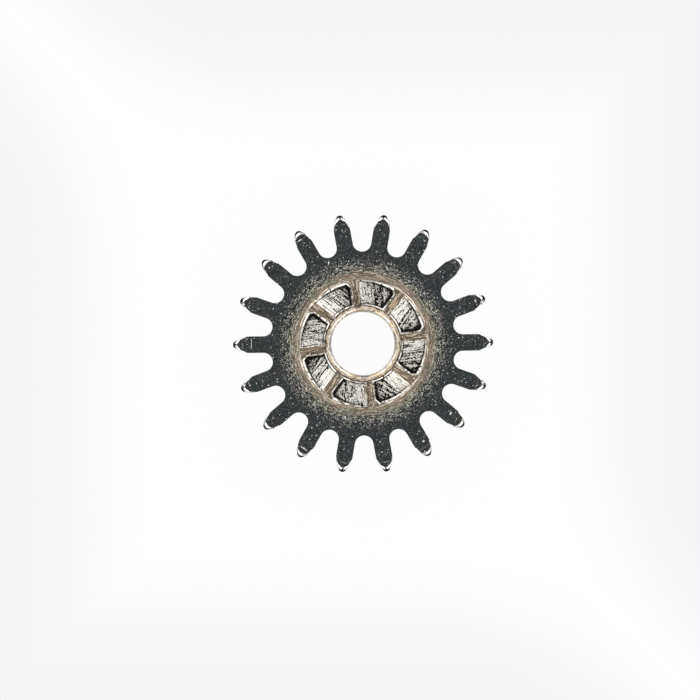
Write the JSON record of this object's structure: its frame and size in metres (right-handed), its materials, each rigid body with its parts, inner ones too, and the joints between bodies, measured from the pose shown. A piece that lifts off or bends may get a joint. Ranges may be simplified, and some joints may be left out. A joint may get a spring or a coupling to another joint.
{
  "type": "winding pinion",
  "caption": "Spur-toothed steel pinion that runs loose on a watch's winding stem, with a ring of coined ratchet pockets in its front face round a plain bore and a short hub behind.",
  "frame": {"origin": "centre of the bore at the end face of the back hub", "axes": "+Z along the bore, from the back hub towards the ratchet face; +X about 0.6 degrees clockwise of the centre of a winding tooth, seen from +Z"},
  "size_m": [0.004, 0.0038, 0.0011],
  "materials": {
    "hardened_steel": "hardened carbon steel, lapped dark on the flat faces, with a warm heat tint inside the dish and bright cut pocket floors"
  },
  "bodies": {
    "root": {"winding_pinion": "hardened_steel"}
  },
  "joints": []
}
